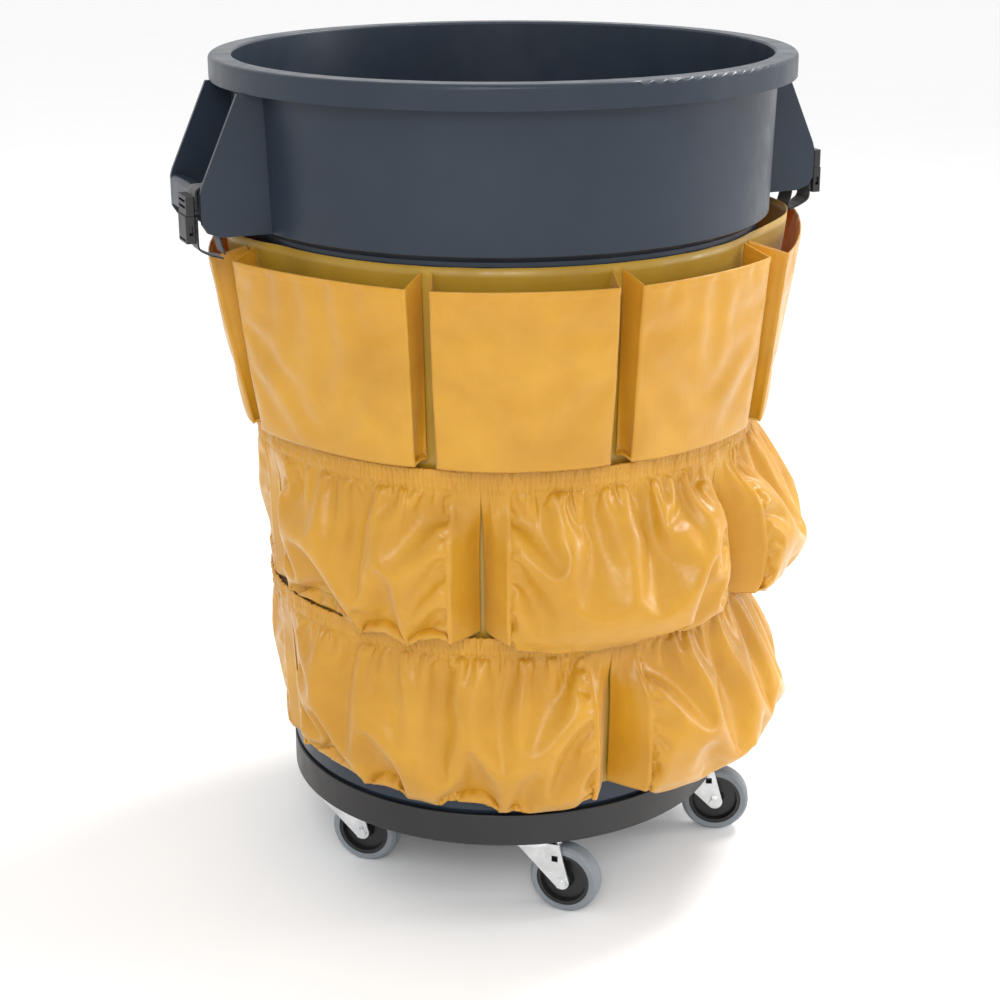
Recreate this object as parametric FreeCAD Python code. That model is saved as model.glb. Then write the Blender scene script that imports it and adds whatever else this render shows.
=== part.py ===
# Wheeled round container with a clip-on pocket bag, on a five-caster dolly.
# Millimetres. +Z is up, the origin is on the floor under the tub's axis,
# the handles lie on +X and -X, and the front is -Y.
import FreeCAD, Part
import os
from math import cos, degrees, pi, radians, sin

V = FreeCAD.Vector

# ---- driving dimensions -------------------------------------------------

# casters
caster_count = 5
caster_first_angle = -104.1     # polar angle of caster 1 about the tub's axis, from +X
caster_circle_r = 210.8
wheel_r = 38.1
wheel_headroom = 9.6            # tyre top to the underside of the dolly
wheel_width = 22.0
hub_r = 29.5
hub_boss_width = 25.0
trail = 34.3                    # king pin to axle, level
trail_angles = [-44.4, -28.0, 150.0, 141.0, -43.0]
plate_side = 52.0
plate_t = 2.5
crown_r = 23.0
crown_t = 3.0
leg_t = 2.5
leg_end_r = 8.5
axle_r = 4.0
king_pin_r = 4.5
running_clearance = 0.05
moving_gap = 0.4
rivet_r = 2.5

# dolly
tray_r = 243.0
tray_height = 35.7
tray_wall = 4.0
tray_floor_t = 4.2
tray_hole_r = 60.0

# tub
tub_height = 795.5
rim_r = 305.0
rim_lip = 24.0
rim_width = 24.0
tub_wall = 4.0
tub_floor_t = 5.0
band_top_r = 285.0
band_bottom_r = 280.8
band_height = 162.5             # rim top to the band's lower edge
body_top_r = 270.0
body_bottom_r = 241.0
foot_r = 232.0
tub_tray_gap = 1.2

# handles
handle_reach = 345.0            # tub axis to the grip's outer face
handle_width = 120.0
gusset_t = 4.5
grip_height = 30.0
grip_depth = 16.0
grip_wall = 4.0
grip_drop = 116.0               # rim top to the grip's top
rib_t = 4.0
rib_depth = 9.0

# bag
bag_top_drop = 174.5            # rim top to the bag's hem
bag_bottom = 150.0
cloth_t = 2.5
cloth_ease = 1.0
fabric_gap = 0.5
seam_turn = 2.0                 # the gathered rows' seams sit this many degrees round from the handles
upper_seams = [-85.5, -38.5, 0.4, 40.5, 92.0, 137.0, 182.0, 228.0]   # degrees from the front
tab_width = 50.0
tab_height = 60.0
tab_short = 27.0                # the hem's tab ends this far inside the grip's outer face

# webbing and buckles
webbing_width = 25.0
webbing_t = 1.8
strap_offset = 38.0             # strap centre, in front of the handle's middle
buckle_width = 31.0
buckle_depth = 10.0
buckle_wall = 1.5
buckle_stand_off = 1.5
socket_height = 27.0
plug_height = 19.0
prong_length = 17.0
prong_width = 3.0
buckle_rise = 7.0               # hem to the socket's lower end

# ---- sizes that follow ---------------------------------------------------

mount_height = 2 * wheel_r + wheel_headroom     # floor to the underside of the dolly
tray_floor_top = mount_height + tray_floor_t
tray_top = mount_height + tray_height
tub_base = tray_floor_top
rim_top = tub_base + tub_height
lip_bottom = rim_top - rim_lip
band_bottom = rim_top - band_height
step_height = 7.0
body_top = band_bottom - step_height
body_bottom = tray_top + 5.0
tray_inner_r = tray_r - tray_wall
waist_r = tray_inner_r - tub_tray_gap
waist_top = body_bottom - 3.0
bag_top = rim_top - bag_top_drop
tab_reach = handle_reach - tab_short
buckle_lie = bag_top + buckle_rise
grip_top = rim_top - grip_drop
grip_bottom = grip_top - grip_height
half_handle = handle_width / 2


def body_radius(z):
    """Outer radius of the tub's lower body at height z."""
    share = (z - body_bottom) / (body_top - body_bottom)
    return body_bottom_r + (body_top_r - body_bottom_r) * share


def sleeve_radius(z):
    """Outer radius of the bag's back sheet at height z."""
    return body_radius(z) + cloth_ease + cloth_t


# ---- helpers -------------------------------------------------------------

def face_rz(points):
    """A flat face in the XZ plane, from points (radius, height)."""
    corners = [V(r, 0, z) for r, z in points]
    return Part.Face(Part.makePolygon(corners + corners[:1]))


def turned(points, start=0.0, sweep=360.0):
    """A solid of revolution about Z, from start over sweep degrees (polar angles)."""
    face = face_rz(points)
    face.rotate(V(0, 0, 0), V(0, 0, 1), start)
    return face.revolve(V(0, 0, 0), V(0, 0, 1), sweep)


def upright(radius, z0, z1, x=0.0, y=0.0):
    return Part.makeCylinder(radius, z1 - z0, V(x, y, z0), V(0, 0, 1))


def tube(inner, outer, z0, z1):
    return turned([(inner, z0), (outer, z0), (outer, z1), (inner, z1)])


def block(x0, x1, y0, y1, z0, z1):
    return Part.makeBox(x1 - x0, y1 - y0, z1 - z0, V(x0, y0, z0))


def plate_xz(points, y0, y1):
    """A flat plate: an outline (x, z) carried from y0 to y1."""
    corners = [V(x, y0, z) for x, z in points]
    return Part.Face(Part.makePolygon(corners + corners[:1])).extrude(V(0, y1 - y0, 0))


def hexagon(across, z0, z1):
    reach = across / 3 ** 0.5
    corners = [V(reach * cos(k * pi / 3), reach * sin(k * pi / 3), z0) for k in range(7)]
    return Part.Face(Part.makePolygon(corners)).extrude(V(0, 0, z1 - z0))


def moved(shape, turn=0.0, x=0.0, y=0.0, z=0.0):
    copy = shape.copy()
    copy.rotate(V(0, 0, 0), V(0, 0, 1), turn)
    copy.translate(V(x, y, z))
    return copy


def to_side(shape, side):
    """Shapes are built on the +X side; the left ones are their mirror images."""
    return shape if side > 0 else shape.mirror(V(0, 0, 0), V(1, 0, 0))


def rounded_edges(shape, radius, chosen):
    """Fillet the circular edges that chosen(edge radius, edge height) picks."""
    edges = [e for e in shape.Edges
             if isinstance(e.Curve, Part.Circle) and chosen(e.Curve.Radius, e.Curve.Center.z)]
    return shape.makeFillet(radius, edges)


def near(a, b):
    return abs(a - b) < 0.01


def ribbon(points, bend_r, width, thickness, middle_y):
    """Flat webbing swept along (x, z) points whose corners are rounded to bend_r."""
    path = [V(x, middle_y, z) for x, z in points]
    edges = []
    start = path[0]
    for before, corner, after in zip(path, path[1:], path[2:]):
        into = (corner - before).normalize()
        out = (after - corner).normalize()
        half = into.getAngle(out) / 2
        back = bend_r * sin(half) / cos(half)
        arc_in = corner - into * back
        arc_out = corner + out * back
        inward = (out - into).normalize()
        middle = corner + inward * (bend_r / cos(half) - bend_r)
        edges.append(Part.makeLine(start, arc_in))
        edges.append(Part.Arc(arc_in, middle, arc_out).toShape())
        start = arc_out
    edges.append(Part.makeLine(start, path[-1]))
    along = (path[1] - path[0]).normalize()
    side = V(0, 1, 0)
    normal = along.cross(side)
    ends = []
    for a, b in ((-1, -1), (1, -1), (1, 1), (-1, 1)):
        ends.append(path[0] + side * (a * width / 2) + normal * (b * thickness / 2))
    profile = Part.makePolygon(ends + ends[:1])
    return Part.Wire(edges).makePipeShell([profile], True, False)


# ---- dolly ---------------------------------------------------------------

caster_places = []
for k in range(caster_count):
    polar = caster_first_angle + k * 360 / caster_count
    place = (polar, caster_circle_r * cos(radians(polar)), caster_circle_r * sin(radians(polar)))
    caster_places.append(place)

rivet_reach = plate_side / 2 - 5.5
rivet_spots = [(a * rivet_reach, b * rivet_reach) for a in (-1, 1) for b in (-1, 1)]
rivet_head_r = rivet_r * 1.8
rivet_head_t = 1.6


def on_dolly(shape, place):
    polar, x, y = place
    return moved(shape, polar, x, y)


def dolly_tray():
    tray = turned([
        (tray_hole_r, mount_height), (tray_r, mount_height), (tray_r, tray_top),
        (tray_inner_r, tray_top), (tray_inner_r, tray_floor_top), (tray_hole_r, tray_floor_top),
    ])
    tray = rounded_edges(tray, 1.5, lambda r, z: near(r, tray_r))
    for place in caster_places:
        for x, y in rivet_spots:
            hole = upright(rivet_r, mount_height - 1, tray_floor_top + 1, x, y)
            seat = Part.makeCone(rivet_r, rivet_head_r, rivet_head_t,
                                 V(x, y, tray_floor_top - rivet_head_t), V(0, 0, 1))
            tray = tray.cut(on_dolly(hole.fuse(seat), place))
    return tray


def caster_plates():
    """Each plate carries a raised boss that the fork's raceway runs against."""
    low = mount_height - plate_t
    half = plate_side / 2
    plate = block(-half, half, -half, half, low, mount_height)
    upright_edges = [e for e in plate.Edges if near(abs(e.tangentAt(e.FirstParameter).z), 1)]
    plate = plate.makeFillet(5.0, upright_edges)
    plate = plate.cut(upright(king_pin_r, low - 1, mount_height + 1))
    for x, y in rivet_spots:
        plate = plate.cut(upright(rivet_r, low - 1, mount_height + 1, x, y))
    return Part.makeCompound([on_dolly(plate, place) for place in caster_places])


def plate_rivets():
    low = mount_height - plate_t
    rivets = []
    for place in caster_places:
        for x, y in rivet_spots:
            rivet = upright(rivet_r, low - rivet_head_t, tray_floor_top, x, y)
            rivet = rivet.fuse(upright(rivet_head_r, low - rivet_head_t, low, x, y))
            rivet = rivet.fuse(Part.makeCone(rivet_r, rivet_head_r, rivet_head_t,
                                             V(x, y, tray_floor_top - rivet_head_t), V(0, 0, 1)))
            rivets.append(on_dolly(rivet.removeSplitter(), place))
    return Part.makeCompound(rivets)


crown_top = mount_height - plate_t - 1.7 - moving_gap
crown_bottom = crown_top - crown_t
king_head_t = 3.0


def king_pins():
    """A pin through plate and crown, with a head under the crown."""
    pin = upright(king_pin_r, crown_bottom - moving_gap - king_head_t, mount_height)
    head = upright(king_pin_r + 3.5, crown_bottom - moving_gap - king_head_t,
                   crown_bottom - moving_gap)
    return Part.makeCompound([on_dolly(pin.fuse(head).removeSplitter(), p) for p in caster_places])


# ---- casters: built with the trail along +X, then placed ------------------

leg_inner = hub_boss_width / 2 + 0.6
leg_outer = leg_inner + leg_t
hole_side = 7.0
crown_back = -15.0              # the crown's bridge and the legs' top span from here
crown_front = trail - 3.0       # to here, along the trail
leg_root = 5.0                  # how far the legs' rear edge starts below the crown
window_along = 0.78             # the window's middle, as a share of the trail
window_up = 0.66                # and of the height from the axle to the crown


def leg(side):
    """One leg of the fork, with a small square window above the axle."""
    y0 = leg_inner if side > 0 else -leg_outer
    outline = [
        (crown_back, crown_top), (crown_front, crown_top), (trail + leg_end_r * 0.92, wheel_r + leg_end_r * 0.38),
        (trail - leg_end_r * 0.75, wheel_r - leg_end_r * 0.66), (crown_back, crown_bottom - leg_root),
    ]
    shape = plate_xz(outline, y0, y0 + leg_t)
    end = Part.makeCylinder(leg_end_r, leg_t, V(trail, y0, wheel_r), V(0, 1, 0))
    shape = shape.fuse(end)
    window_x = trail * window_along
    window_z = wheel_r + (crown_bottom - wheel_r) * window_up
    window = block(window_x - hole_side / 2, window_x + hole_side / 2, y0 - 1, y0 + leg_t + 1,
                   window_z - hole_side / 2, window_z + hole_side / 2)
    bore = Part.makeCylinder(axle_r, leg_t + 2, V(trail, y0 - 1, wheel_r), V(0, 1, 0))
    return shape.cut(window).cut(bore)


def caster_fork():
    crown = upright(crown_r, crown_bottom, crown_top)
    bridge = block(crown_back, crown_front, -leg_outer, leg_outer, crown_bottom, crown_top)
    race = tube(king_pin_r + 5.0, king_pin_r + 11.0, crown_top, mount_height - plate_t - moving_gap)
    fork = crown.fuse([bridge, race, leg(1), leg(-1)])
    bore = upright(king_pin_r + running_clearance, crown_bottom - 1, mount_height)
    return fork.cut(bore).removeSplitter()


def along_axle(shape):
    """Lay a shape built about Z onto the axle, with its middle between the legs."""
    laid = shape.copy()
    laid.rotate(V(0, 0, 0), V(1, 0, 0), 90)
    laid.translate(V(trail, 0, wheel_r))
    return laid


def caster_axle():
    shank = upright(axle_r, -leg_outer, leg_outer + 4.5)
    head = hexagon(11.0, -leg_outer - 3.5, -leg_outer)
    nut = hexagon(11.0, leg_outer, leg_outer + 4.0).cut(shank)
    return Part.makeCompound([along_axle(shank.fuse(head)), along_axle(nut)])


def wheel_hub():
    boss = hub_boss_width / 2
    rim = wheel_width / 2 - 1.0
    web = 4.0
    bore = axle_r + running_clearance
    half = [(hub_r, rim), (hub_r - 4.0, rim), (hub_r - 5.5, web), (axle_r + 7.0, web),
            (axle_r + 5.0, boss), (bore, boss)]
    outline = half + [(r, -z) for r, z in reversed(half)]
    return along_axle(turned(outline))


def wheel_tyre():
    half = wheel_width / 2
    outline = [(hub_r, -half), (wheel_r - 3.0, -half), (wheel_r, -half + 4.0),
               (wheel_r, half - 4.0), (wheel_r - 3.0, half), (hub_r, half)]
    tyre = turned(outline)
    return along_axle(rounded_edges(tyre, 2.0, lambda r, z: near(r, wheel_r) or near(r, wheel_r - 3)))


# ---- container -----------------------------------------------------------

rim_inner_r = rim_r - rim_width
skirt_inner_r = rim_r - tub_wall
tub_outline = [
    (foot_r - 8.0, tub_base), (foot_r, tub_base + 8.0), (waist_r, waist_top - 1.0),
    (body_bottom_r, body_bottom), (body_top_r, body_top), (band_bottom_r, band_bottom),
    (band_top_r, lip_bottom),
]


def tub():
    """The floor and the tapered wall, of even thickness, up to the step under the band."""
    low_outline = [point for point in tub_outline if point[1] <= band_bottom]
    inside = [
        (band_bottom_r - tub_wall, band_bottom), (body_top_r - tub_wall, body_top - 1.0),
        (body_bottom_r - tub_wall, body_bottom), (waist_r - tub_wall, waist_top - 2.0),
        (foot_r - tub_wall - 1.0, tub_base + 9.0), (foot_r - tub_wall - 5.0, tub_base + tub_floor_t),
        (0, tub_base + tub_floor_t),
    ]
    return turned([(0, tub_base)] + low_outline + inside)


def tub_rim():
    """The upper band with its turned-down rim and a rib at each handle. It meets the wall face to face."""
    shell = turned([
        (band_bottom_r, band_bottom), (band_top_r, lip_bottom), (band_top_r, rim_top - tub_wall),
        (skirt_inner_r, rim_top - tub_wall), (skirt_inner_r, lip_bottom), (rim_r, lip_bottom),
        (rim_r, rim_top), (rim_inner_r, rim_top), (band_bottom_r - tub_wall, band_bottom),
    ])
    shell = rounded_edges(shell, 4.5, lambda r, z: near(r, rim_r) and near(z, rim_top))
    shell = rounded_edges(shell, 2.5, lambda r, z: near(r, rim_inner_r) and near(z, rim_top))
    rib = block(body_top_r, band_bottom_r + rib_depth, -rib_t / 2, rib_t / 2, band_bottom, lip_bottom)
    rib = rib.cut(tub_core())
    return shell.fuse([rib, rib.mirror(V(0, 0, 0), V(1, 0, 0))])


def tub_core():
    """The tub's outer form, filled, that the handles are trimmed to."""
    return turned([(0, tub_base)] + tub_outline + [(band_top_r, rim_top), (0, rim_top)])


def handle(side):
    """Two gussets that run down from the rim, and the hollow grip between them."""
    root = body_top_r
    lug_r = 14.0
    low = band_bottom
    outline = [(root, low), (handle_reach - lug_r * 1.4, low), (handle_reach - lug_r * 0.4, low + 5.0),
               (handle_reach, low + lug_r), (handle_reach, grip_top - 2.0), (handle_reach - 2.0, grip_top + 5.0),
               (rim_r - 1.0, lip_bottom), (root, lip_bottom)]
    near_gusset = plate_xz(outline, -half_handle, -half_handle + gusset_t)
    far_gusset = plate_xz(outline, half_handle - gusset_t, half_handle)
    inner = half_handle - gusset_t
    back = handle_reach - grip_depth
    grip = block(back, handle_reach, -inner, inner, grip_bottom, grip_top)
    long_edges = [e for e in grip.Edges
                  if near(e.CenterOfMass.z, grip_top) and near(e.Length, 2 * inner)]
    grip = grip.makeFillet(5.0, long_edges)
    hollow = block(back + grip_wall, handle_reach - grip_wall, -inner - 1, inner + 1,
                   grip_bottom - 1, grip_top - grip_wall)
    grip = grip.cut(hollow)
    shape = near_gusset.fuse([far_gusset, grip]).cut(tub_core())
    return to_side(shape, side)


# ---- bag -----------------------------------------------------------------

def polar_from_front(turn):
    """Polar angle of a direction given as degrees from the front, towards +X."""
    return turn - 90.0


strap_y = -strap_offset


def hem_tab(side, spare=0.0):
    """The part of the hem that a strap pulls out towards the grip, grown all round by spare."""
    low = bag_top - tab_height - 11.0
    high = bag_top - 11.0
    root = sleeve_radius(low) - cloth_t
    outline = [(root - spare, low + spare), (tab_reach + spare, high + spare),
               (tab_reach + cloth_t + spare, high - 1.0), (root + cloth_t, low - 3.0 - spare)]
    half = tab_width / 2 + spare
    return to_side(plate_xz(outline, strap_y - half, strap_y + half), side)


def bag_sleeve():
    """The back sheet: a tapered sleeve round the tub, cut back behind the two hem tabs."""
    outline = [(sleeve_radius(bag_bottom) - cloth_t, bag_bottom), (sleeve_radius(bag_bottom), bag_bottom),
               (sleeve_radius(bag_top), bag_top), (sleeve_radius(bag_top) - cloth_t, bag_top)]
    sleeve = turned(outline)
    return sleeve.fuse([hem_tab(1), hem_tab(-1)])


def pocket(seam_from, seam_to, gap, low, high, depths):
    """One pocket between two seams. depths is (share of height, depth) from its bottom to its hem."""
    def line(inset):
        return [(sleeve_radius(low + s * (high - low)) + d - inset, low + s * (high - low))
                for s, d in depths]

    def wedge(points, trim):
        reach = sleeve_radius(high) + 30.0
        angle = degrees((gap / 2 + trim) / reach)
        start = polar_from_front(seam_from) + angle
        return turned(points, start, seam_to - seam_from - 2 * angle)

    back = [(sleeve_radius(high) + fabric_gap, high), (sleeve_radius(low) + fabric_gap, low)]
    shell = wedge(line(0.0) + back, 0.0)
    inner = line(cloth_t)
    floor_r, floor_z = inner[0][0], low + cloth_t
    rising = [(floor_r, floor_z)] + inner[1:] + [(inner[-1][0], high + 5.0)]
    room = rising + [(sleeve_radius(high) - 5.0, high + 5.0), (sleeve_radius(low) - 5.0, floor_z)]
    shape = shell.cut(wedge(room, cloth_t))
    for side in (1, -1):
        shape = shape.cut(hem_tab(side, fabric_gap))
    return shape


def even_seams(count):
    return [-90.0 + seam_turn + k * 360.0 / count for k in range(count)]


rows = {
    "pocket_upper": dict(seams=upper_seams, gap=26.0, low=516.0, high=706.0),
    "pocket_middle": dict(seams=even_seams(6), gap=12.0, low=335.0, high=509.0),
    "pocket_lower": dict(seams=even_seams(4), gap=12.0, low=152.0, high=330.0),
}

# how far each kind of pocket stands out: (share of its height, depth)
pleated = [(0, 26.0), (0.5, 30.0), (1, 34.0)]
leaning = [(0, 24.0), (0.5, 42.0), (1, 60.0)]
gaping = [(0, 38.0), (0.5, 60.0), (1, 82.0)]
gathered = [(0, 16.0), (0.1, 38.0), (0.35, 48.0), (0.7, 36.0), (0.88, 18.0), (1, 15.0)]
full = [(0, 20.0), (0.1, 52.0), (0.35, 66.0), (0.7, 44.0), (0.88, 24.0), (1, 18.0)]
slack = [(0, 13.0), (0.1, 15.0), (0.5, 15.0), (1, 14.0)]
drooping = [(0, 18.0), (0.1, 42.0), (0.4, 56.0), (0.7, 42.0), (0.88, 22.0), (1, 16.0)]

usual = {"pocket_upper": pleated, "pocket_middle": gathered, "pocket_lower": gathered}
unusual = {
    "pocket_upper_4": gaping, "pocket_upper_8": leaning,
    "pocket_middle_3": full, "pocket_middle_6": slack,
    "pocket_lower_2": drooping, "pocket_lower_4": slack,
}


def pocket_row(kind):
    row = rows[kind]
    seams = row["seams"]
    made = {}
    for k, (start, end) in enumerate(zip(seams, seams[1:] + [seams[0] + 360.0])):
        name = f"{kind}_{k + 1}"
        made[name] = pocket(start, end, row["gap"], row["low"], row["high"],
                            unusual.get(name, usual[kind]))
    return made


# ---- straps and buckles ---------------------------------------------------

outer_x = handle_reach + 1.0 + webbing_t / 2      # strap lying on the grip's outer face
inner_x = handle_reach - grip_depth - 3.5 - webbing_t / 2
over_z = grip_top + 1.0 + webbing_t / 2
buckle_back = handle_reach + 1.0 + webbing_t + buckle_stand_off
buckle_front = buckle_back + buckle_depth
plug_low = buckle_lie + socket_height + moving_gap
plug_high = plug_low + plug_height


def strap_upper(side):
    """From the hem tab up inside the grip, over it and down behind the plug."""
    points = [(inner_x - 4.0, bag_top - 7.0), (inner_x, bag_top + 10.0), (inner_x, over_z),
              (outer_x, over_z), (outer_x, plug_low + 2.0)]
    return to_side(ribbon(points, 5.0, webbing_width, webbing_t, strap_y), side)


def strap_lower(side):
    """From the hem tab out under the grip and up behind the socket."""
    points = [(tab_reach + 3.5, bag_top - 11.0), (outer_x, bag_top - 1.0), (outer_x, plug_low - 3.0)]
    return to_side(ribbon(points, 6.0, webbing_width, webbing_t, strap_y), side)


def buckle_socket(side):
    """The female half: a flat case, open at the top and at both sides where the prongs show."""
    half = buckle_width / 2
    top = buckle_lie + socket_height
    case = block(buckle_back, buckle_front, strap_y - half, strap_y + half, buckle_lie, top)
    uprights = [e for e in case.Edges if near(e.CenterOfMass.z, (buckle_lie + top) / 2)]
    case = case.makeFillet(2.0, uprights)
    cavity = block(buckle_back + buckle_wall, buckle_front - buckle_wall, strap_y - half + buckle_wall,
                   strap_y + half - buckle_wall, buckle_lie + 6.0, top + 1)
    window = block(buckle_back + 3.0, buckle_front - 3.0, strap_y - half - 1, strap_y + half + 1,
                   buckle_lie + 8.0, buckle_lie + 17.0)
    slot = block(buckle_back - 1, buckle_front + 1, strap_y - half + 4.0, strap_y + half - 4.0,
                 buckle_lie + 2.0, buckle_lie + 4.0)
    return to_side(case.cut(cavity).cut(window).cut(slot), side)


def buckle_plug(side):
    """The male half: a block with ladder bars, and a tongue that guides it in the socket."""
    half = buckle_width / 2
    body = block(buckle_back, buckle_front - 1.0, strap_y - half, strap_y + half, plug_low, plug_high)
    uprights = [e for e in body.Edges if near(e.CenterOfMass.z, (plug_low + plug_high) / 2)]
    body = body.makeFillet(2.0, uprights)
    for share in (0.36, 0.68):
        slot_z = plug_low + share * plug_height
        body = body.cut(block(buckle_back - 1, buckle_front + 1, strap_y - half + 4.0,
                              strap_y + half - 4.0, slot_z, slot_z + 2.5))
    middle = (buckle_back + buckle_front) / 2
    tongue = block(middle - 1.5, middle + 1.5, strap_y - 3.5, strap_y + 3.5,
                   plug_low - prong_length + 2.0, plug_low)
    return to_side(body.fuse(tongue), side)


def buckle_prong(side, end):
    """One sprung arm. end is -1 for the front arm and +1 for the rear one."""
    middle = (buckle_back + buckle_front) / 2
    outer = buckle_width / 2 - buckle_wall - 0.5
    y_out = strap_y + end * outer
    y_in = strap_y + end * (outer - prong_width)
    arm = block(middle - 2.0, middle + 2.0, min(y_in, y_out), max(y_in, y_out),
                plug_low - prong_length, plug_low - 0.3)
    return to_side(arm, side)


# ---- build ---------------------------------------------------------------

def build():
    nodes = {
        "dolly_tray": dolly_tray(),
        "caster_plates": caster_plates(),
        "plate_rivets": plate_rivets(),
        "king_pins": king_pins(),
    }
    makers = {"caster_fork": caster_fork, "caster_axle": caster_axle,
              "wheel_hub": wheel_hub, "wheel_tyre": wheel_tyre}
    for name, make in makers.items():
        shape = make()
        for k, (polar, x, y) in enumerate(caster_places):
            nodes[f"{name}_{k + 1}"] = moved(shape, trail_angles[k], x, y)
    nodes["tub"] = tub()
    nodes["tub_rim"] = tub_rim()
    nodes["bag_sleeve"] = bag_sleeve()
    for kind in rows:
        nodes.update(pocket_row(kind))
    for side, word in ((-1, "left"), (1, "right")):
        nodes[f"handle_{word}"] = handle(side)
        nodes[f"strap_upper_{word}"] = strap_upper(side)
        nodes[f"strap_lower_{word}"] = strap_lower(side)
        nodes[f"buckle_socket_{word}"] = buckle_socket(side)
        nodes[f"buckle_plug_{word}"] = buckle_plug(side)
        nodes[f"buckle_prong_front_{word}"] = buckle_prong(side, -1)
        nodes[f"buckle_prong_rear_{word}"] = buckle_prong(side, 1)
    return nodes


os.makedirs("parts", exist_ok=True)
nodes = build()
for name, shape in nodes.items():
    shape.exportStep(f"parts/{name}.step")
    box = shape.BoundBox
    print(f"{name:24s} solids {len(shape.Solids)} valid {shape.isValid()} volume {shape.Volume:12.1f}"
          f"  x {box.XMin:.1f} {box.XMax:.1f} y {box.YMin:.1f} {box.YMax:.1f} z {box.ZMin:.1f} {box.ZMax:.1f}")
print(len(nodes), "nodes")
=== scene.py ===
from math import radians, sin, cos, pi
import bpy
import numpy as np
from mathutils import Matrix, Vector


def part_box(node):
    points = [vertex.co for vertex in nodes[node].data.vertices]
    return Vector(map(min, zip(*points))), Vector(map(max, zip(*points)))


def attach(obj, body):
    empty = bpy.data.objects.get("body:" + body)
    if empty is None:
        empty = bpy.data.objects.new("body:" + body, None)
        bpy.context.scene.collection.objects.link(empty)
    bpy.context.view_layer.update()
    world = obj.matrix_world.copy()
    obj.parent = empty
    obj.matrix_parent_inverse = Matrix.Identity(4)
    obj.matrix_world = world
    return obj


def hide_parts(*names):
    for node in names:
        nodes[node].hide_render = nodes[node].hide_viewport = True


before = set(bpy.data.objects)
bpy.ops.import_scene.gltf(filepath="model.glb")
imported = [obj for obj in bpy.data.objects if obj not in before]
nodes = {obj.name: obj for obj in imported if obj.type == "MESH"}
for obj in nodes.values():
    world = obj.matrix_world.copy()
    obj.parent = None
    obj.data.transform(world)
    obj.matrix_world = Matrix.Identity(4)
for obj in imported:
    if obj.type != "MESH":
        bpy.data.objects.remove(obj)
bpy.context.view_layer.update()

scene = bpy.context.scene
print("frame loaded:", len(nodes), "nodes")


# the camera and the studio

cameraSet = {
    "turn": -23.0,       # degrees round from the front, towards +X
    "distance": 2.1263,  # level, to the tub's axis
    "height": 1.112,
    "down": 18.79,       # degrees below level
    "aimLeft": 0.1375,   # degrees
    "roll": 0.235,       # degrees
    "lens": 72.17,       # mm
}


def makeCamera(s):
    data = bpy.data.cameras.new("camera")
    data.lens, data.sensor_width = s["lens"], 36
    data.clip_start, data.clip_end = 0.05, 60
    obj = bpy.data.objects.new("camera", data)
    scene.collection.objects.link(obj)
    turn, down, roll = radians(s["turn"]), radians(s["down"]), radians(s["roll"])
    heading = -turn - radians(s["aimLeft"])
    level = Vector((sin(heading), cos(heading), 0))
    forward = level * cos(down) + Vector((0, 0, -sin(down)))
    right = forward.cross(Vector((0, 0, 1))).normalized()
    up = right.cross(forward)
    right, up = right * cos(roll) - up * sin(roll), up * cos(roll) + right * sin(roll)
    m = Matrix((right, up, -forward)).transposed().to_4x4()
    m.translation = Vector((s["distance"] * sin(turn), -s["distance"] * cos(turn), s["height"]))
    obj.matrix_world = m
    scene.camera = obj


def areaLight(name, place, target, size, power, colour=(1, 1, 1)):
    data = bpy.data.lights.new(name, "AREA")
    data.shape, data.size, data.energy, data.color = "DISK", size, power, colour
    obj = bpy.data.objects.new(name, data)
    scene.collection.objects.link(obj)
    obj.location = place
    obj.rotation_euler = (Vector(target) - Vector(place)).to_track_quat("-Z", "Y").to_euler()


studio = {
    "key": ((1.7, 0.5, 2.7), 1.0, 62),
    "front": ((-1.6, -3.4, 2.6), 1.5, 52),
    "side": ((3.0, -1.2, 1.3), 0.9, 24),
    "worldLight": 1.0,
    "floorColour": (0.955, 0.955, 0.955), "floorDark": (0.94, 0.94, 0.94),
    "floorSize": 60.0,
}


def makeStudio(s):
    aim = (0, 0, 0.5)
    for name in ("key", "front", "side"):
        place, size, power = s[name]
        areaLight(name + "Light", place, aim, size, power)
    world = bpy.data.worlds.new("studio")
    scene.world = world
    world.use_nodes = True
    world.node_tree.nodes["Background"].inputs[0].default_value = (1, 1, 1, 1)
    world.node_tree.nodes["Background"].inputs[1].default_value = s["worldLight"]
    half = s["floorSize"] / 2
    mesh = bpy.data.meshes.new("floor")
    corners = [(-half, -half, 0), (half, -half, 0), (half, half, 0), (-half, half, 0)]
    mesh.from_pydata(corners, [], [(0, 1, 2, 3)])
    floor = bpy.data.objects.new("floor", mesh)
    scene.collection.objects.link(floor)
    mat, tree, bsdf = newMaterial("floorPaint")
    tree.links.new(ramp(tree, noiseOn(tree, 6.0), [(0.3, s["floorDark"]), (0.7, s["floorColour"])]),
                   bsdf.inputs["Base Color"])
    tree.links.new(greyRamp(tree, noiseOn(tree, 25.0), 0.66, 0.74), bsdf.inputs["Roughness"])
    mesh.materials.append(mat)
    scene.view_settings.view_transform = "Standard"


def newMaterial(name):
    mat = bpy.data.materials.new(name)
    mat.use_nodes = True
    tree = mat.node_tree
    return mat, tree, tree.nodes["Principled BSDF"]


def addNode(tree, kind, **values):
    node = tree.nodes.new(kind)
    for key, value in values.items():
        if key in node.inputs:
            node.inputs[key].default_value = value
        else:
            setattr(node, key, value)
    return node


def noiseOn(tree, scale, detail=4.0, rough=0.55, source=None):
    node = addNode(tree, "ShaderNodeTexNoise", Scale=scale, Detail=detail, Roughness=rough)
    place = source or addNode(tree, "ShaderNodeTexCoord").outputs["Object"]
    tree.links.new(place, node.inputs["Vector"])
    return node.outputs["Fac"]


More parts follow.
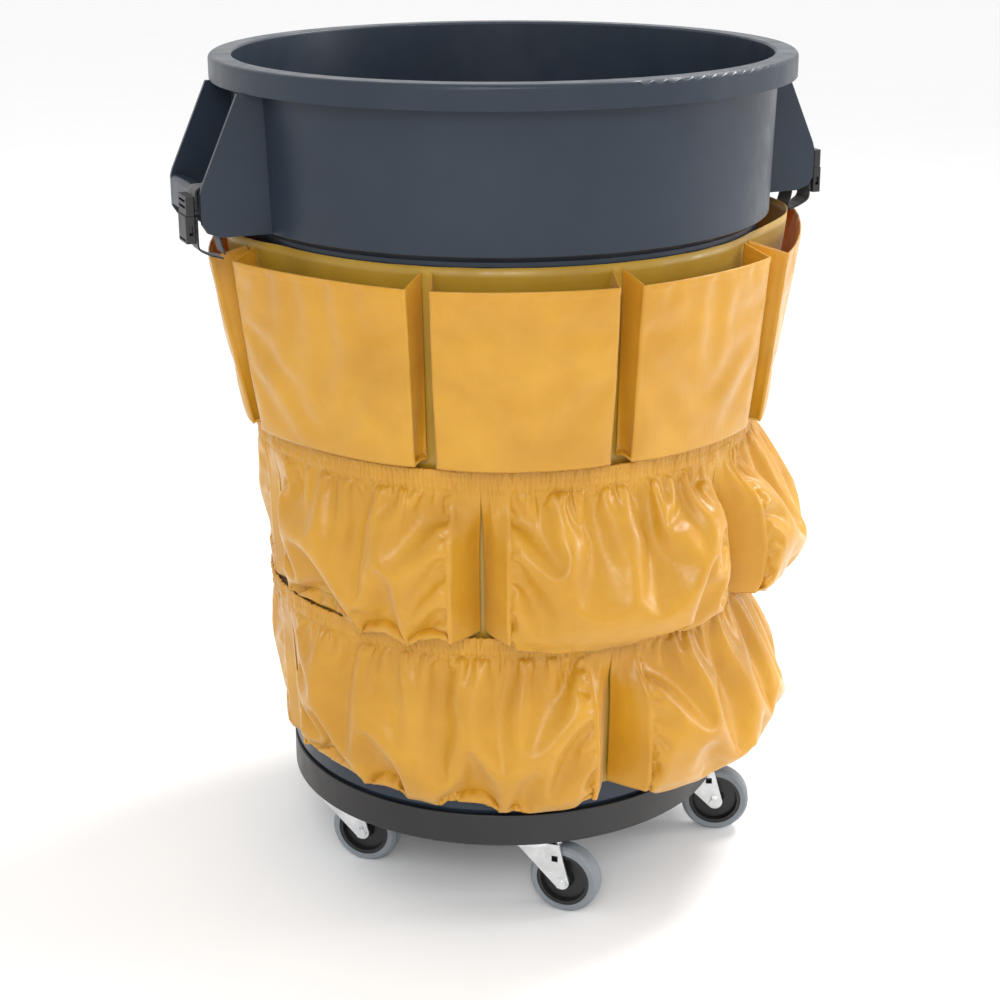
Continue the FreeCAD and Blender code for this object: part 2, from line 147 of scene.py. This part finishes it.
def ramp(tree, source, stops):
    node = tree.nodes.new("ShaderNodeValToRGB")
    items = node.color_ramp.elements
    while len(items) < len(stops):
        items.new(0.5)
    for item, (at, colour) in zip(items, stops):
        item.position = at
        item.color = (*colour, 1) if len(colour) == 3 else colour
    tree.links.new(source, node.inputs["Fac"])
    return node.outputs["Color"]


def greyRamp(tree, source, low, high, start=0.3, end=0.7):
    return ramp(tree, source, [(start, (low,) * 3), (end, (high,) * 3)])


def bump(tree, bsdf, height, strength, distance, before=None):
    node = addNode(tree, "ShaderNodeBump", Strength=strength, Distance=distance)
    tree.links.new(height, node.inputs["Height"])
    if before:
        tree.links.new(before, node.inputs["Normal"])
    tree.links.new(node.outputs["Normal"], bsdf.inputs["Normal"])
    return node.outputs["Normal"]


# plastic with a fine grain and slow waves in its surface
def mouldedPlastic(name, low, high, rough, grain, spread=9.0, shine=0.5):
    mat, tree, bsdf = newMaterial(name)
    bsdf.inputs["Specular IOR Level"].default_value = shine
    tree.links.new(ramp(tree, noiseOn(tree, spread), [(0.3, low), (0.75, high)]), bsdf.inputs["Base Color"])
    tree.links.new(greyRamp(tree, noiseOn(tree, 40.0), rough - 0.05, rough + 0.07),
                   bsdf.inputs["Roughness"])
    first = bump(tree, bsdf, noiseOn(tree, grain), 0.12, 0.0004)
    bump(tree, bsdf, noiseOn(tree, spread * 0.6, 1.0), 0.25, 0.0015, first)
    return mat


def zincSteel(name):
    mat, tree, bsdf = newMaterial(name)
    bsdf.inputs["Metallic"].default_value = 1.0
    tree.links.new(ramp(tree, noiseOn(tree, 60.0), [(0.3, (0.60, 0.62, 0.63)), (0.7, (0.80, 0.82, 0.83))]),
                   bsdf.inputs["Base Color"])
    tree.links.new(greyRamp(tree, noiseOn(tree, 180.0), 0.26, 0.42), bsdf.inputs["Roughness"])
    bump(tree, bsdf, noiseOn(tree, 500.0), 0.1, 0.0002)
    return mat


cloth = {
    "shade": (0.47, 0.218, 0.009), "lit": (0.58, 0.288, 0.015), "rough": 0.36,
    "backShade": (0.35, 0.20, 0.012), "backLit": (0.44, 0.26, 0.02),
    "threads": 900.0,    # threads to the metre
    "glow": 0.18,
}


def uvSource(tree):
    return addNode(tree, "ShaderNodeUVMap", uv_map="cut").outputs["UV"]


# ribs across one direction of the cut cloth
def threads(tree, source, count, across):
    node = addNode(tree, "ShaderNodeTexWave", Scale=count / 20.0, Distortion=0.4)
    node.inputs["Detail Scale"].default_value = 2.0
    node.bands_direction = across
    tree.links.new(source, node.inputs["Vector"])
    return node.outputs["Fac"]


def coatedCloth(name, s, shade, lit):
    mat, tree, bsdf = newMaterial(name)
    tree.links.new(ramp(tree, noiseOn(tree, 14.0, 6.0), [(0.28, shade), (0.72, lit)]),
                   bsdf.inputs["Base Color"])
    tree.links.new(greyRamp(tree, noiseOn(tree, 70.0), s["rough"] - 0.06, s["rough"] + 0.1),
                   bsdf.inputs["Roughness"])
    bsdf.inputs["Subsurface Weight"].default_value = s["glow"]
    bsdf.inputs["Subsurface Radius"].default_value = (1.0, 0.35, 0.06)
    bsdf.inputs["Subsurface Scale"].default_value = 0.006
    bsdf.inputs["Sheen Weight"].default_value = 0.15
    bsdf.inputs["Sheen Roughness"].default_value = 0.4
    place = uvSource(tree)
    mix = addNode(tree, "ShaderNodeMath", operation="ADD")
    tree.links.new(threads(tree, place, s["threads"], "X"), mix.inputs[0])
    tree.links.new(threads(tree, place, s["threads"], "Y"), mix.inputs[1])
    weave = bump(tree, bsdf, mix.outputs[0], 0.15, 0.0002)
    bump(tree, bsdf, noiseOn(tree, 55.0, 5.0, 0.6), 0.35, 0.0012, weave)
    return mat


def wovenWebbing(name):
    mat, tree, bsdf = newMaterial(name)
    place = uvSource(tree)
    ribs = threads(tree, place, 700.0, "Y")
    tree.links.new(ramp(tree, ribs, [(0.2, (0.010, 0.010, 0.011)), (0.9, (0.030, 0.030, 0.033))]),
                   bsdf.inputs["Base Color"])
    bsdf.inputs["Roughness"].default_value = 0.7
    bsdf.inputs["Sheen Weight"].default_value = 0.3
    bump(tree, bsdf, ribs, 0.6, 0.0005)
    return mat


slate = mouldedPlastic("slatePlastic", (0.017, 0.025, 0.038), (0.022, 0.032, 0.047), 0.34, 700.0,
                       shine=0.32)
black = mouldedPlastic("blackPlastic", (0.008, 0.008, 0.009), (0.014, 0.014, 0.015), 0.42, 900.0, 20.0)
tread = mouldedPlastic("greyTread", (0.17, 0.19, 0.21), (0.21, 0.235, 0.26), 0.5, 1200.0, 30.0)
zinc = zincSteel("zincSteel")
yellowCloth = coatedCloth("yellowCloth", cloth, cloth["shade"], cloth["lit"])
backCloth = coatedCloth("backCloth", cloth, cloth["backShade"], cloth["backLit"])
webbing = wovenWebbing("blackWebbing")

finishOf = (
    ("tub", slate), ("handle", slate), ("dolly_tray", black), ("wheel_hub", black), ("buckle", black),
    ("caster", zinc), ("plate_rivets", zinc), ("king_pins", zinc), ("wheel_tyre", tread),
)
for nodeName, obj in nodes.items():
    for start, mat in finishOf:
        if nodeName.startswith(start):
            obj.data.materials.clear()
            obj.data.materials.append(mat)
    if nodeName in ("tub", "tub_rim"):
        even = obj.modifiers.new("evenNormals", "WEIGHTED_NORMAL")
        even.keep_sharp = True
print("finishes made")


# a place from degrees round from the front, a radius and a height
def at(turn, r, z):
    a = np.radians(turn)
    return np.stack(np.broadcast_arrays(r * np.sin(a), -r * np.cos(a), z), axis=-1)


def smoothStep(x):
    x = np.clip(x, 0.0, 1.0)
    return x * x * (3 - 2 * x)


# a sheet from rows of points, with its cut size as texture coordinates in metres
def gridPiece(name, grid, material, body, thick=0.0, closed=False):
    rows, cols = grid.shape[:2]
    step = np.linalg.norm(np.diff(grid, axis=1), axis=2).mean(axis=0)
    across = np.concatenate([[0], np.cumsum(step)])
    rise = np.linalg.norm(np.diff(grid, axis=0), axis=2).mean(axis=1)
    along = np.concatenate([[0], np.cumsum(rise)])
    faces, spots = [], []
    last = cols if closed else cols - 1
    for j in range(rows - 1):
        for i in range(last):
            k = (i + 1) % cols
            faces.append((j * cols + i, j * cols + k, (j + 1) * cols + k, (j + 1) * cols + i))
            right = across[i + 1] if i + 1 < cols else across[-1] + step[0]
            spots += [across[i], along[j], right, along[j], right, along[j + 1], across[i], along[j + 1]]
    mesh = bpy.data.meshes.new(name)
    mesh.from_pydata(grid.reshape(-1, 3).tolist(), [], faces)
    layer = mesh.uv_layers.new(name="cut")
    layer.data.foreach_set("uv", spots)
    mesh.polygons.foreach_set("use_smooth", [True] * len(faces))
    mesh.materials.append(material)
    obj = bpy.data.objects.new(name, mesh)
    scene.collection.objects.link(obj)
    if thick:
        solid = obj.modifiers.new("thickness", "SOLIDIFY")
        solid.thickness, solid.offset = thick, 0.0
    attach(obj, body)
    return obj


def gridNormals(grid):
    right = np.gradient(grid, axis=1)
    up = np.gradient(grid, axis=0)
    n = np.cross(right, up)
    return n / np.maximum(np.linalg.norm(n, axis=2, keepdims=True), 1e-9)


# soft ridges that run down from the elastic and die away
def ridges(rng, x, y, count, width, tall, reach, drift):
    total = np.zeros_like(x)
    span = x.max()
    for k in range(count):
        middle = span * (k + rng.uniform(0.1, 0.9)) / count + rng.normal(0, drift) * y
        w = rng.uniform(*width) + y * rng.uniform(0.03, 0.12)
        size = rng.uniform(*tall) * np.exp(-(y / rng.uniform(*reach)) ** 2)
        total += size * np.exp(-((x - middle) / w) ** 2)
    return total


# the bag's back sheet

sleeveLow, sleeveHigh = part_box("bag_sleeve")


def sleeveRadius(z):
    share = (z - sleeveLow.z) / (sleeveHigh.z - sleeveLow.z)
    return sleeveFoot + (sleeveHead - sleeveFoot) * share


def nodeRadius(node, z, reach=0.002):
    spots = [v.co for v in nodes[node].data.vertices
             if abs(v.co.z - z) < reach and abs(v.co.x) < abs(v.co.y)]
    return max((s.x ** 2 + s.y ** 2) ** 0.5 for s in spots)


sleeveFoot = nodeRadius("bag_sleeve", sleeveLow.z)
sleeveHead = nodeRadius("bag_sleeve", sleeveHigh.z)
print("back sheet radius", round(sleeveFoot, 4), round(sleeveHead, 4))

backSheet = {
    # where the straps pull the hem outwards: turn, half width, reach, height that it starts from
    "flares": [(82.0, 40.0, 0.042, 0.50), (-98.0, 26.0, 0.024, 0.45)],
    "columns": 288, "rows": 60, "thick": 0.0010,
    "set": 0.0015,       # inside the outer face of its solid
    "waves": 14, "waveTall": 0.0003, "seed": 11,
}
clothBase = 0.001        # a pocket's root stands this far off the back sheet
bagRadius = 0.29         # turns a gap in metres into degrees
pointSpacing = 0.0042
mm = 0.001


# the back sheet's radius, with its flares
def sheetRadius(turn, z):
    r = sleeveRadius(z) - backSheet["set"]
    for middle, half, reach, low in backSheet["flares"]:
        off = (turn - middle + 180.0) % 360.0 - 180.0
        lobe = np.where(np.abs(off) < half, 0.5 + 0.5 * np.cos(pi * off / half), 0.0)
        r = r + reach * lobe * smoothStep((z - low) / (sleeveHigh.z - low))
    return r


def makeSheet(s):
    turns = np.arange(s["columns"]) * 360.0 / s["columns"]
    heights = np.linspace(sleeveLow.z, sleeveHigh.z, s["rows"])
    turn, z = np.meshgrid(turns, heights)
    rng = np.random.default_rng(s["seed"])
    waves = np.zeros_like(turn)
    for k in range(s["waves"]):
        tall = rng.uniform(0.2, 0.6)
        phase = np.radians(turn) * rng.integers(5, 40) + rng.uniform(0, 6.28) + z * rng.uniform(-9, 9)
        waves += tall * np.sin(phase)
    r = sheetRadius(turn, z) + s["waveTall"] * waves
    piece = gridPiece("backSheet", at(turn, r, z), backCloth, "container", s["thick"], closed=True)
    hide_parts("bag_sleeve")


makeSheet(backSheet)
print("back sheet made")

# the seams between pockets, in degrees from the front
seamTurn = 2.0
rowSeams = {
    "upper": [-85.5, -38.5, 0.4, 40.5, 92.0, 137.0, 182.0, 228.0],
    "middle": [-90.0 + seamTurn + 60.0 * k for k in range(6)],
    "lower": [-90.0 + seamTurn + 90.0 * k for k in range(4)],
}


def seamsOf(kind, number):
    seams = rowSeams[kind]
    return seams[number - 1], (seams[number:] + [seams[0] + 360.0])[0]


# one level of a pocket: left side wall, flat or curved front, right side wall
def section(start, end, z, gaps, depth, counts, bow=0.0):
    wallCount, frontCount = counts
    rootGap, cornerGap = [np.degrees(gap / 2 / bagRadius) for gap in gaps]
    rise = np.linspace(0, 1, wallCount)
    a = start + rootGap + (cornerGap - rootGap) * rise
    b = (end - rootGap - (cornerGap - rootGap) * rise)[::-1]
    inner = start + cornerGap, end - cornerGap
    front = np.linspace(*inner, frontCount + 2)[1:-1]
    left = at(a, sheetRadius(a, z) + clothBase + depth[0] * rise, z)
    right = at(b, sheetRadius(b, z) + clothBase + depth[1] * rise[::-1], z)
    share = (front - inner[0]) / (inner[1] - inner[0])
    t = share[:, None]
    chord = left[-1] * (1 - t) + right[0] * t
    arc = at(front, sheetRadius(front, z) + clothBase + depth[0] + (depth[1] - depth[0]) * share, z)
    outward = at(np.full(len(front), (start + end) / 2), 1.0, 0.0)
    flat = chord + outward * bow * (4 * t * (1 - t)) ** 0.8
    return left, flat, arc, right


settling = {
    "grow": 8.0,          # the cloth solver works best on pieces a metre or more across
    "frames": 34, "steps": 6,
    "tension": 18.0, "shear": 6.0, "bending": 12.0, "mass": 0.25, "gap": 0.0010,
    "gravity": 0.2,
    "pin": 6.0,           # how firmly the held points keep their places
    "drag": 2.0, "damping": 8.0, "friction": 12.0,
    "wall": 0.985,        # the wall it lies against starts a little way behind it
}


# All the pockets settle together over the back sheet. Their fronts grow by the spare cloth cut into them.
def settle(jobs, wall, s):
    grow = s["grow"]
    wallCopy = wall.copy()
    wallCopy.data = wall.data.copy()
    wallCopy.modifiers.clear()
    wallCopy.parent = None
    wallCopy.data.transform(Matrix.Diagonal((grow * s["wall"], grow * s["wall"], grow, 1)))
    wallCopy.name = "settlingWall"
    scene.collection.objects.link(wallCopy)
    wallCopy.modifiers.new("wall", "COLLISION")
    wallCopy.collision.thickness_outer = s["gap"] * grow
    wallCopy.collision.cloth_friction = s["friction"]
    made = []
    for job in jobs:
        grid = job["grid"]
        rows, cols = grid.shape[:2]
        faces = [(j * cols + i, j * cols + i + 1, (j + 1) * cols + i + 1, (j + 1) * cols + i)
                 for j in range(rows - 1) for i in range(cols - 1)]
        mesh = bpy.data.meshes.new("settling")
        mesh.from_pydata((grid * grow).reshape(-1, 3).tolist(), [], faces)
        obj = bpy.data.objects.new("settling", mesh)
        scene.collection.objects.link(obj)
        group = obj.vertex_groups.new(name="held")
        held = job["held"].ravel()
        for level in np.unique(held):
            group.add(np.nonzero(held == level)[0].tolist(), float(level), "REPLACE")
        plain = obj.vertex_groups.new(name="plain")
        plain.add(np.nonzero(job["plain"].ravel())[0].tolist(), 1.0, "REPLACE")
        solver = obj.modifiers.new("cloth", "CLOTH")
        c = solver.settings
        c.quality, c.mass, c.air_damping = s["steps"], s["mass"], s["drag"]
        c.tension_stiffness = c.compression_stiffness = s["tension"]
        c.shear_stiffness, c.bending_stiffness = s["shear"], s["bending"]
        c.tension_damping = c.compression_damping = s["damping"]
        c.vertex_group_mass = "held"
        c.pin_stiffness = s["pin"]
        c.effector_weights.gravity = s["gravity"]
        c.vertex_group_shrink = "plain"
        c.shrink_min, c.shrink_max = -job["spare"], 0.0
        solver.collision_settings.distance_min = s["gap"] * grow
        solver.collision_settings.collision_quality = 2
        solver.point_cache.frame_end = s["frames"] + 1
        made.append((job, obj))
    scene.frame_end = s["frames"] + 1
    for frameNumber in range(1, s["frames"] + 1):
        scene.frame_set(frameNumber)
    graph = bpy.context.evaluated_depsgraph_get()
    for job, obj in made:
        result = obj.evaluated_get(graph)
        mesh = result.to_mesh()
        spots = np.zeros(len(mesh.vertices) * 3)
        mesh.vertices.foreach_get("co", spots)
        result.to_mesh_clear()
        job["grid"] = spots.reshape(job["grid"].shape) / grow
        bpy.data.objects.remove(obj)
    bpy.data.objects.remove(wallCopy)
    scene.frame_set(1)


# running length across (axis 1) or up (axis 0) a sheet
def arcs(grid, axis):
    step = np.linalg.norm(np.diff(grid, axis=axis), axis=2)
    lengths = step.max(axis=1 - axis) if axis == 1 else step.mean(axis=1)
    return np.concatenate([[0.0], np.cumsum(lengths)])


pleated = {
    # how far each front stands off the back sheet, at its foot and at its mouth
    "depth": {1: (0.024, 0.030), 2: (0.024, 0.032), 3: (0.024, 0.032), 4: (0.030, 0.042),
              5: (0.024, 0.032), 6: (0.024, 0.030), 7: (0.024, 0.030), 8: (0.024, 0.036)},
    "hemDrop": 0.011,             # front hem below the back sheet's
    "gaps": (0.012, 0.026),       # between neighbours, at the roots and at the corners
    "bow": 0.012, "spare": 0.014, "keep": 0.12,
    "reach": 0.30,                # radius that the fronts lie on, for the number of points
    "wallPoints": 8, "rows": 46,
    "floor": (0.011, 0.0022), "floorRows": 5, "floorOut": 0.92,
    "clear": 0.003,               # least gap between front and back sheet
    "hemFrom": 0.9,
}


def pleatedJob(number, s):
    node = f"pocket_upper_{number}"
    low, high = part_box(node)
    start, end = seamsOf("upper", number)
    foot, mouth = s["depth"][number]
    top = high.z - s["hemDrop"]
    counts = s["wallPoints"], int(np.radians(end - start) * s["reach"] / pointSpacing)
    floor = list(low.z + np.linspace(*s["floor"], s["floorRows"]))
    heights = floor + list(np.linspace(low.z, top, s["rows"]))
    outward = list(np.linspace(0.0, s["floorOut"], s["floorRows"])) + [1.0] * s["rows"]
    grid = []
    for z, share in zip(heights, outward):
        v = np.clip((z - low.z) / (top - low.z), 0, 1)
        depth = (foot + (mouth - foot) * v) * share
        left, flat, _, right = section(start, end, z, s["gaps"], (depth, depth), counts,
                                       s["bow"] * share)
        turn = np.degrees(np.arctan2(flat[:, 0], -flat[:, 1]))
        r = np.hypot(flat[:, 0], flat[:, 1])
        least = sheetRadius(turn, z) + s["clear"] * share + clothBase
        flat[:, :2] *= (np.maximum(r, least) / r)[:, None]
        rise = np.linspace(1, 0, len(left)) * s["hemDrop"] * smoothStep((v - s["hemFrom"]) / 0.1)
        left[:, 2] += rise
        right[:, 2] += rise[::-1]
        grid.append(np.concatenate([left, flat, right]))
    grid = np.array(grid)
    held = np.zeros(grid.shape[:2])
    held[:, 0] = held[:, -1] = held[0] = 1.0
    held[:, :] = np.maximum(held, s["keep"])
    held[-1] = 1.0
    plain = np.zeros(grid.shape[:2], bool)
    plain[:, :counts[0] + 1] = plain[:, -counts[0] - 1:] = True
    return {"node": node, "name": f"pleatedPocket{number}", "grid": grid, "held": held, "plain": plain,
            "kind": "pleated", "spare": s["spare"], "hold": "hung"}


gathered = {
    # share of the depth at each share of the height
    "profile": [(0.0, 0.86), (0.08, 0.98), (0.3, 1.0), (0.55, 0.82), (0.75, 0.52), (0.87, 0.24),
                (1.0, 0.2)],
    # how far each pocket stands off the back sheet, at its left and right ends
    "depth": {"middle": {1: (0.014, 0.042), 2: (0.042, 0.048), 3: (0.058, 0.055), 4: (0.044, 0.040),
                         5: (0.040, 0.020), 6: (0.008, 0.008)},
              "lower": {1: (0.012, 0.042), 2: (0.048, 0.048), 3: (0.042, 0.020), 4: (0.008, 0.008)}},
    "gaps": (0.006, 0.056), "casing": 0.022, "casingOut": 0.007, "casingGap": 0.0,
    "spare": 0.14, "keep": 0.06, "keepSides": 0.5,
    "fullDepth": 0.03,            # a shallower pocket gets less spare cloth
    "wallPoints": 9, "rows": 42,
    "floor": (0.013, 0.0022), "floorRows": 6, "floorOut": 0.9,
    "drawFrom": 0.3, "drawOver": 0.58,       # where the elastic draws the cloth in sideways
    "closeFrom": 0.6, "closeOver": 0.28,     # and where it pulls it to the back sheet
    "ridgeEvery": 0.02, "ridgeWidth": (0.005, 0.009), "ridgeTall": (0.5, 3.0),   # tall in mm
    "ridgeReach": (0.04, 0.12), "ridgeDrift": 0.25, "ridgeEdge": 0.03,
}


def gatheredJob(kind, number, s):
    node = f"pocket_{kind}_{number}"
    low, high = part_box(node)
    start, end = seamsOf(kind, number)
    depth = s["depth"][kind][number]
    rng = np.random.default_rng(300 + number + 20 * len(rowSeams[kind]))
    tall = high.z - low.z
    counts = s["wallPoints"], int(np.radians(end - start) * bagRadius / pointSpacing)
    floor = list(low.z + np.linspace(*s["floor"], s["floorRows"]))
    heights = floor + list(low.z + tall * np.linspace(0, 1, s["rows"]))
    outward = list(np.linspace(0.0, s["floorOut"], s["floorRows"])) + [1.0] * s["rows"]
    grid = []
    for z, share in zip(heights, outward):
        v = np.clip((z - low.z) / tall, 0, 1)
        d = np.array(depth) * np.interp(v, *zip(*s["profile"])) * share
        left, _, arc, right = section(start, end, z, s["gaps"], d, counts)
        row = np.concatenate([left, arc, right])
        # the elastic draws the cloth in evenly and runs straight across the seam
        mix = smoothStep((v - s["drawFrom"]) / s["drawOver"])
        turn = start + np.degrees(np.arctan2(row[:, 0], -row[:, 1]) - np.radians(start)) % 360.0
        rootGap = np.degrees((s["gaps"][0] * (1 - mix) + s["casingGap"] * mix) / 2 / bagRadius)
        turn += (np.linspace(start + rootGap, end - rootGap, len(row)) - turn) * mix
        r = np.hypot(row[:, 0], row[:, 1])
        close = smoothStep((v - s["closeFrom"]) / s["closeOver"])
        r += (sheetRadius(turn, z) + s["casingOut"] - r) * close
        grid.append(at(turn, r, z))
    grid = np.array(grid)
    rows, cols = grid.shape[:2]
    x = arcs(grid, 1)[None, :] + np.zeros((rows, 1))
    y = tall - (grid[..., 2] - low.z)
    lump = ridges(rng, x, y, int(x.max() / s["ridgeEvery"]), s["ridgeWidth"], s["ridgeTall"],
                  s["ridgeReach"], s["ridgeDrift"])
    lump -= lump.mean()
    free = smoothStep((y - s["casing"]) / 0.01) * smoothStep(np.minimum(x, x.max() - x) / s["ridgeEdge"])
    free[:s["floorRows"] + 1] = 0
    grid = grid + gridNormals(grid) * (mm * lump * free)[..., None]
    held = np.zeros((rows, cols))
    held[:] = s["keep"]
    held[:, :counts[0] + 1] = held[:, -counts[0] - 1:] = s["keepSides"]
    held[y < s["casing"]] = 1.0
    held[:, 0] = held[:, -1] = held[0] = 1.0
    plain = held >= s["keepSides"]
    spare = s["spare"] * min(1.0, sum(depth) / 2 / s["fullDepth"])
    return {"node": node, "name": f"{kind}Pocket{number}", "grid": grid, "held": held, "plain": plain,
            "kind": "gathered", "spare": spare, "hold": "gathered"}


jobs = [pleatedJob(number, pleated) for number in range(1, 9)]
for kind in ("middle", "lower"):
    jobs += [gatheredJob(kind, number, gathered) for number in range(1, len(rowSeams[kind]) + 1)]
for job in jobs:
    job["flat"] = [float(arcs(job["grid"], axis)[-1]) * (1 + job["spare"]) for axis in (1, 0)]
print("pockets laid out:", sum(job["grid"].shape[0] * job["grid"].shape[1] for job in jobs), "points")

settle(jobs, bpy.data.objects["backSheet"], settling)
print("pockets settled")


# more rows and columns along smooth curves through the old points
def finer(grid, times):
    for axis, n in ((0, times[0]), (1, times[1])):
        count = grid.shape[axis]
        spots = np.linspace(0, count - 1, (count - 1) * n + 1)
        k = np.clip(spots.astype(int), 0, count - 2)
        t = (spots - k).reshape((-1, 1, 1) if axis == 0 else (1, -1, 1))
        take = lambda i: np.take(grid, np.clip(i, 0, count - 1), axis)
        p0, p1, p2, p3 = take(k - 1), take(k), take(k + 1), take(k + 2)
        cubic = 2 * p0 - 5 * p1 + 4 * p2 - p3 + t * (3 * (p1 - p2) + p3 - p0)
        grid = p1 + 0.5 * t * (p2 - p0 + t * cubic)
    return grid


puckers = {
    "spacing": (0.0042, 0.0075), "width": 0.0017, "tall": 0.0022, "lean": 0.12,
    # how far each runs past the casing, and how often
    "reach": [0.9, 1.1, 1.6, 2.6], "often": [0.3, 0.35, 0.25, 0.1],
    "stitch": 0.0014, "stitchWidth": 0.0018, "middleWidth": 0.0015,
    "edge": 0.004, "most": 600, "rows": 40,
}


# the elastic's puckers and the stitches at and inside its casing
def puckered(grid, rng, casing, s):
    rows, cols = grid.shape[:2]
    x = arcs(grid[-s["rows"]:], 1)[None, :] + np.zeros((rows, 1))
    down = np.cumsum(np.linalg.norm(np.diff(grid[::-1], axis=0), axis=2).mean(axis=1))
    y = np.concatenate([[0.0], down])[::-1][:, None] + np.zeros((1, cols))
    lump = np.zeros_like(x)
    places = np.cumsum(rng.uniform(*s["spacing"], s["most"]))
    for place in places[places < x.max()]:
        lean = rng.normal(0, s["lean"])
        reach = casing * rng.choice(s["reach"], p=s["often"])
        width = s["width"] * (1 + 0.8 * smoothStep((y - casing) / 0.03))
        across = np.exp(-((x - place - lean * (y - casing / 2)) / width) ** 2)
        lump += rng.uniform(0.4, 1.3) * across * np.exp(-(y / reach) ** 4)
    stitch = np.exp(-((y - casing) / s["stitchWidth"]) ** 2)
    stitch += 0.6 * np.exp(-((y - casing * 0.5) / s["middleWidth"]) ** 2)
    lump = s["tall"] * lump - s["stitch"] * stitch
    edge = smoothStep(np.minimum(x, x.max() - x) / s["edge"])
    return grid + gridNormals(grid) * (lump * edge)[..., None]


sheetGap = 0.0026        # least gap between any pocket and the back sheet
pocketThick = 0.0012
finerPleated, finerGathered = (2, 2), (2, 3)
hem = {
    "down": 0.009, "groove": 0.0007, "grooveWidth": 0.0012, "fold": 0.0004,
    "edge": 0.0012, "edgeWidth": 0.0018,                          # the stitched corners
    "wallColumns": (pleated["wallPoints"] - 1) * finerPleated[1],
}


def hemmed(grid, s):
    x = arcs(grid, 1)[None, :]
    down = np.cumsum(np.linalg.norm(np.diff(grid[::-1], axis=0), axis=2).mean(axis=1))
    y = np.concatenate([[0.0], down])[::-1][:, None]
    corners = x[0, s["wallColumns"]], x[0, -1 - s["wallColumns"]]
    lump = sum(s["edge"] * np.exp(-((x - corner) / s["edgeWidth"]) ** 2) for corner in corners)
    lump = lump - s["groove"] * np.exp(-((y - s["down"]) / s["grooveWidth"]) ** 2)
    lump = lump + s["fold"] * (y < s["down"])
    return grid + gridNormals(grid) * lump[..., None]


# moves out any point that ended up inside the back sheet
def offSheet(grid, gap):
    turn = np.degrees(np.arctan2(grid[..., 0], -grid[..., 1]))
    r = np.hypot(grid[..., 0], grid[..., 1])
    least = sheetRadius(turn, grid[..., 2]) + gap
    grid[..., :2] *= np.maximum(least / r, 1.0)[..., None]
    return grid


for index, job in enumerate(jobs):
    grid = offSheet(job["grid"], sheetGap)
    if job["kind"] == "gathered":
        rng = np.random.default_rng(700 + index)
        grid = puckered(finer(grid, finerGathered), rng, gathered["casing"], puckers)
    else:
        grid = hemmed(finer(grid, finerPleated), hem)
    piece = gridPiece(job["name"], grid, yellowCloth, "container", pocketThick)
    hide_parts(job["node"])
print("pockets made")


webStrap = {
    "thick": 0.0016,
    "legs": 0.0223,      # between the strap's two runs beside the grip
    "rise": 0.0170,      # hem to the upright run inside the grip
    "tuck": 0.0170,      # how far up the plug the upper strap ends
    "slope": 0.0108,     # how much the lower strap climbs under the grip
    "bend": 0.0060, "sag": 0.0012, "sagLength": 0.025, "rows": 70, "columns": 12,
    "endUpper": 0.0006, "endLower": 0.001, "bendSteps": 10,
}


# a path in side view with its corners rounded
def roundedPath(points, bend, steps):
    points = [np.array(p) for p in points]
    path = [points[0]]
    for a, b, c in zip(points, points[1:], points[2:]):
        p = b + (a - b) * min(bend / np.linalg.norm(a - b), 0.5)
        q = b + (c - b) * min(bend / np.linalg.norm(c - b), 0.5)
        path += [(1 - t) ** 2 * p + 2 * t * (1 - t) * b + t * t * q for t in np.linspace(0, 1, steps)]
    return np.array(path + [points[-1]])


def makeStrap(end, side, s):
    node = f"strap_{end}_{side}"
    low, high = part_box(node)
    sign = 1 if side == "right" else -1
    outer = max(abs(low.x), abs(high.x)) - s["thick"] / 2
    inner = min(abs(low.x), abs(high.x)) + s["thick"] / 2
    if end == "upper":
        top = high.z - s["thick"] / 2
        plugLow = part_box(f"buckle_plug_{side}")[0].z
        points = [(inner, low.z + s["endUpper"]), (outer - s["legs"], low.z + s["rise"]),
                  (outer - s["legs"], top), (outer, top), (outer, plugLow + s["tuck"])]
    else:
        points = [(inner, low.z + s["endLower"]), (outer, low.z + s["slope"]), (outer, high.z)]
    path = roundedPath(points, s["bend"], s["bendSteps"])
    steps = np.concatenate([[0], np.cumsum(np.linalg.norm(np.diff(path, axis=0), axis=1))])
    spots = np.linspace(0, steps[-1], s["rows"])
    x, z = (np.interp(spots, steps, path[:, k]) for k in (0, 1))
    across = np.linspace(0, 1, s["columns"])
    sag = s["sag"] * np.sin(pi * np.clip(spots / s["sagLength"], 0, 1)) ** 2
    z = z[:, None] - sag[:, None] * (0.6 + 0.8 * across)
    y = low.y + (high.y - low.y) * across
    grid = np.stack(np.broadcast_arrays(sign * x[:, None], y, z), axis=-1)
    piece = gridPiece(f"webbing_{end}_{side}", grid, webbing, "container", s["thick"])
    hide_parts(node)


for side in ("left", "right"):
    for end in ("upper", "lower"):
        makeStrap(end, side, webStrap)
print("straps made")

makeCamera(cameraSet)
makeStudio(studio)
